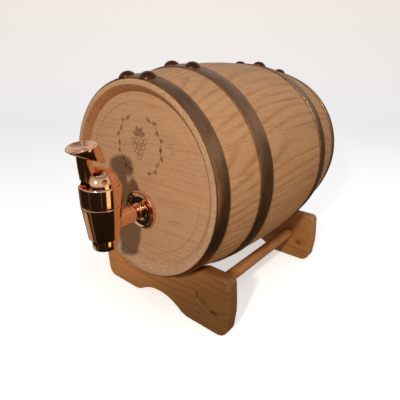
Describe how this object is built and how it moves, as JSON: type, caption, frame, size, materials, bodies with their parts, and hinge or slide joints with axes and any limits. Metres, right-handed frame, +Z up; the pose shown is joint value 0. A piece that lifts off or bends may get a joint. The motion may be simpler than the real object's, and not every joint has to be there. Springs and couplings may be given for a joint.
{
  "type": "wine barrel",
  "caption": "Small oak wine barrel lying on a wooden cradle, with bronze hoops, a bung and a self-closing rose-gold tap for storing and pouring wine.",
  "frame": {"origin": "on the floor, under the middle of the whole object's bounding box", "axes": "+Z up, +Y from the tap along the barrel axis towards the back, +X to the right seen from the front"},
  "size_m": [0.1608, 0.2394, 0.1934],
  "materials": {
    "stave_oak": "sanded, waxed oak with dark pores",
    "head_oak": "fine sanded oak",
    "stand_pine": "oiled pine",
    "bung_wood": "turned end-grain plug",
    "hoop_bronze": "antique bronze, brushed round the hoop",
    "rivet_copper": "dark polished copper",
    "rose_gold": "mirror rose-gold plating",
    "brass": "turned brass",
    "steel": "spring steel",
    "white_plastic": "natural acetal",
    "silicone": "translucent silicone",
    "black_rubber": "nitrile rubber"
  },
  "bodies": {
    "stand": {"front_cradle_board": "stand_pine", "rear_cradle_board": "stand_pine", "left_dowel": "stand_pine", "right_dowel": "stand_pine"},
    "barrel": {"bung_stave": "stave_oak", "stave_02": "stave_oak", "stave_03": "stave_oak", "stave_04": "stave_oak", "stave_05": "stave_oak", "stave_06": "stave_oak", "stave_07": "stave_oak", "stave_08": "stave_oak", "stave_09": "stave_oak", "stave_10": "stave_oak", "stave_11": "stave_oak", "stave_12": "stave_oak", "stave_13": "stave_oak", "stave_14": "stave_oak", "stave_15": "stave_oak", "stave_16": "stave_oak", "stave_17": "stave_oak", "stave_18": "stave_oak", "stave_19": "stave_oak", "stave_20": "stave_oak", "stave_21": "stave_oak", "stave_22": "stave_oak", "stave_23": "stave_oak", "stave_24": "stave_oak", "front_head": "head_oak", "rear_head": "head_oak", "front_chime_hoop": "hoop_bronze", "front_quarter_hoop": "hoop_bronze", "rear_quarter_hoop": "hoop_bronze", "rear_chime_hoop": "hoop_bronze", "front_chime_rivets": "rivet_copper", "front_quarter_rivets": "rivet_copper", "rear_quarter_rivets": "rivet_copper", "rear_chime_rivets": "rivet_copper", "tap_body": "rose_gold", "tap_cap": "rose_gold", "tap_nozzle": "rose_gold", "tap_flange": "rose_gold", "flange_gasket": "black_rubber", "shank_gasket": "silicone", "back_nut": "brass", "lever_pivot_pin": "rose_gold", "return_spring": "steel"},
    "bung": {"bung": "bung_wood"},
    "lever": {"tap_lever": "rose_gold"},
    "valve": {"valve_stem": "white_plastic", "valve_seal": "silicone", "stem_o_ring": "black_rubber", "link_pin": "steel"}
  },
  "joints": [
    {"name": "barrel_lift", "type": "slide", "parent": "stand", "child": "barrel", "axis": [0, 0, 1], "range_m": [0, 0.06]},
    {"name": "bung_pull", "type": "slide", "parent": "barrel", "child": "bung", "axis": [-0.0628, 0, 0.998], "range_m": [0, 0.03]},
    {"name": "tap_lever_tilt", "type": "hinge", "parent": "barrel", "child": "lever", "pos_m": [0, -0.10296, 0.1225], "axis": [1, 0, 0], "range_deg": [0, 28], "stiffness_Nm_per_rad": 0.2, "springref_deg": -11.46},
    {"name": "valve_lift", "type": "slide", "parent": "barrel", "child": "valve", "axis": [0, 0, 1], "range_m": [0, 0.0019], "stiffness_N_per_m": 0.02, "springref_m": 1.09, "deforming": ["return_spring"]}
  ],
  "couplings": [
    {"joint": "valve_lift", "follows": "tap_lever_tilt", "m_per_rad": 0.0038427}
  ]
}
